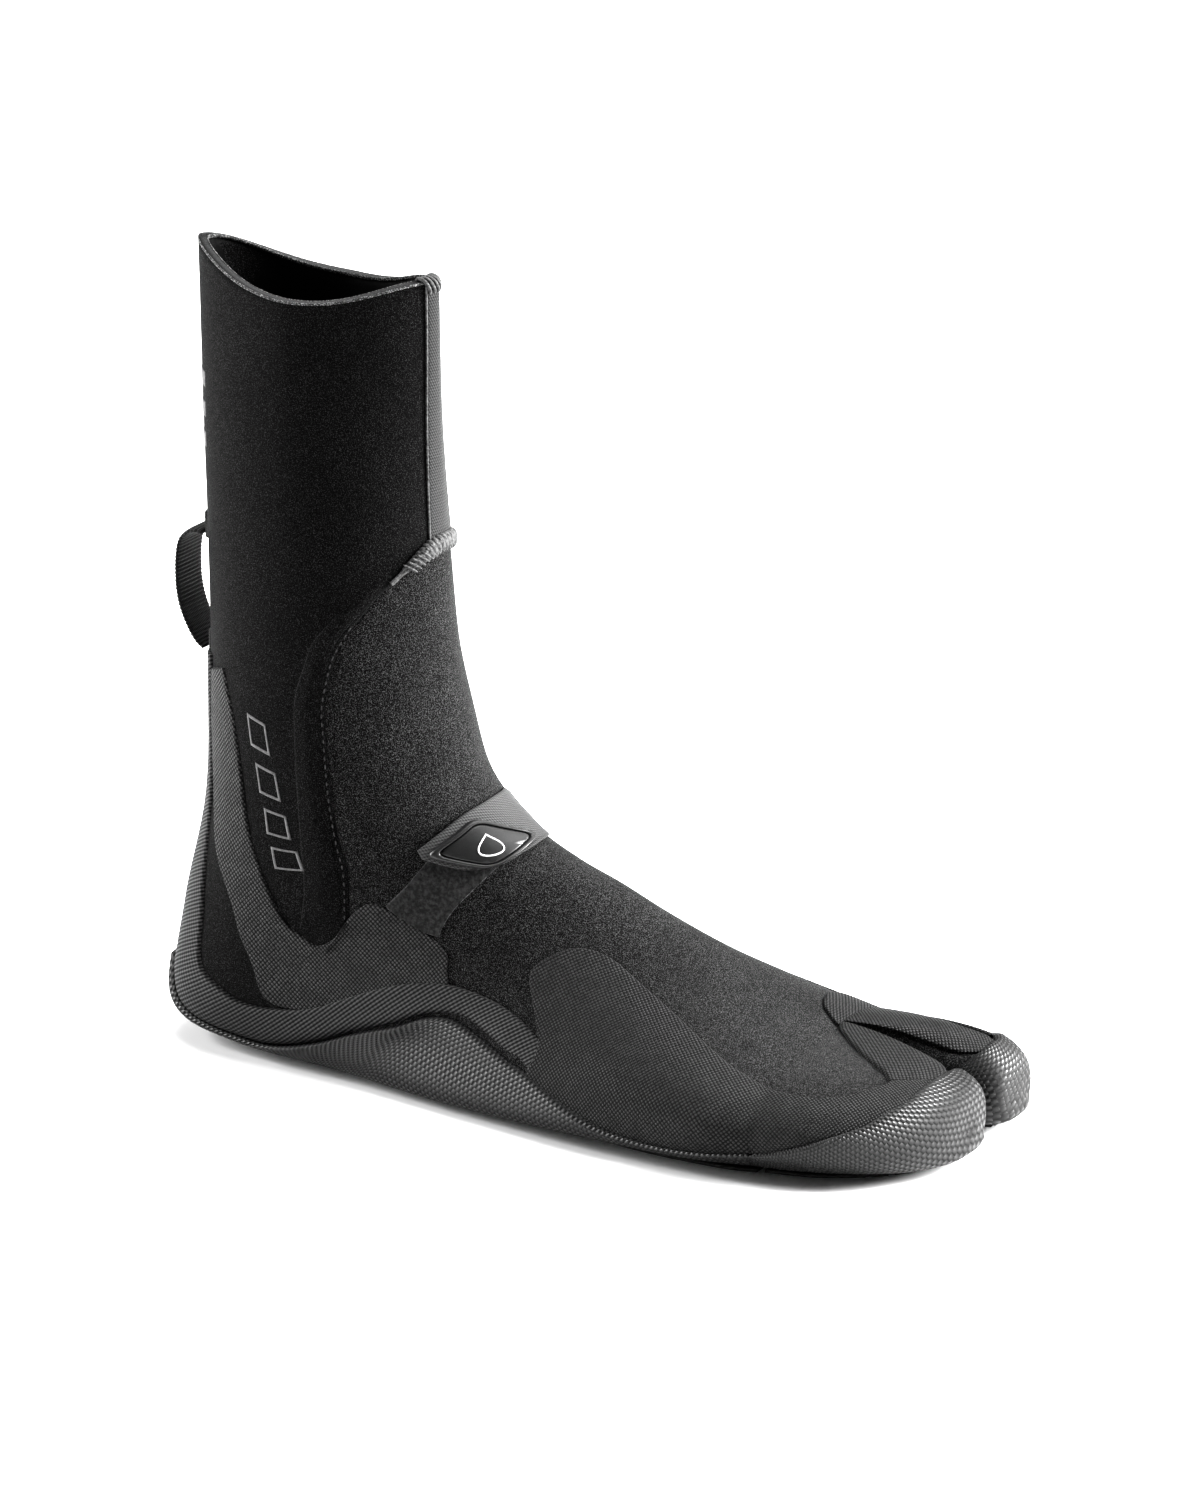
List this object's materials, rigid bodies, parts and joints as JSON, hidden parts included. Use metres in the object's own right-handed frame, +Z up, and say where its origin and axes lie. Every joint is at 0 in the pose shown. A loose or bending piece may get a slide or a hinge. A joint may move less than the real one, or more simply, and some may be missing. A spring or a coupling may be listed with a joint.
{
  "type": "split-toe neoprene boot",
  "caption": "Ankle-high split-toe neoprene boot for the right foot, with a rubber sole, textured overlays, an instep strap and a heel pull loop.",
  "frame": {"origin": "on the ground, straight below the ankle's flex axis, 50 mm in front of the heel's back", "axes": "+X to the toes, +Y to the inner (big toe) side, +Z up"},
  "size_m": [0.2741, 0.1031, 0.25],
  "materials": {
    "sole_rubber": "semi-gloss moulded rubber with a knurled face",
    "textured_overlay": "satin rubberised overlay with a fine raised grid",
    "neoprene_jersey": "matt knitted jersey on neoprene, flecked with grey",
    "foam": "matt foam with a fabric face",
    "lining_jersey": "matt fine jersey",
    "seam_tape": "light grey knitted tape",
    "seam_thread": "light grey stitching",
    "print_ink": "light grey transfer print",
    "webbing": "ribbed woven webbing",
    "hook_and_pile": "fuzzy pile and hooks",
    "badge_rubber": "satin moulded rubber"
  },
  "bodies": {
    "foot": {"outsole": "sole_rubber", "sole_wall": "sole_rubber", "big_toe_cap": "sole_rubber", "outer_toe_cap": "sole_rubber", "heel_spine": "textured_overlay", "rand_lateral": "textured_overlay", "rand_medial": "textured_overlay", "ankle_strut_lateral": "textured_overlay", "ankle_strut_medial": "textured_overlay", "arch_flap_lateral": "textured_overlay", "arch_flap_medial": "textured_overlay", "toe_guard_lateral": "textured_overlay", "toe_guard_medial": "textured_overlay", "vamp_panel": "neoprene_jersey", "heel_panel": "neoprene_jersey", "footbed_panel": "foam", "outer_toe_sleeve": "neoprene_jersey", "big_toe_sleeve": "neoprene_jersey", "insole": "foam", "foot_lining": "lining_jersey", "pile_patch": "hook_and_pile", "strap_anchor": "webbing"},
    "shaft": {"cuff_panel": "neoprene_jersey", "shaft_front_panel": "neoprene_jersey", "shaft_lining": "lining_jersey", "front_seam_tape": "seam_tape", "front_bar_tack": "seam_thread", "side_seam_lateral": "seam_thread", "side_seam_medial": "seam_thread", "shaft_strut_lateral": "textured_overlay", "shaft_strut_medial": "textured_overlay", "achilles_strip": "textured_overlay", "loop_tabs": "webbing", "side_print": "print_ink", "back_print": "print_ink"},
    "pull_loop": {"pull_loop": "webbing"},
    "strap": {"instep_strap": "webbing", "hook_pad": "hook_and_pile", "badge_frame": "badge_rubber", "badge_insert": "badge_rubber"}
  },
  "joints": [
    {"name": "ankle_flex", "type": "hinge", "parent": "foot", "child": "shaft", "pos_m": [0, 0, 0.092], "axis": [0, 1, 0], "range_deg": [-20, 15], "stiffness_Nm_per_rad": 3},
    {"name": "loop_swing", "type": "hinge", "parent": "shaft", "child": "pull_loop", "pos_m": [-0.045, 0, 0.136], "axis": [0, 0, 1], "range_deg": [-20, 20], "stiffness_Nm_per_rad": 0.02},
    {"name": "strap_peel", "type": "hinge", "parent": "foot", "child": "strap", "pos_m": [0.06338, 0.00562, 0.08118], "axis": [-0.7738, -0.0119, 0.6333], "range_deg": [0, 100]}
  ]
}
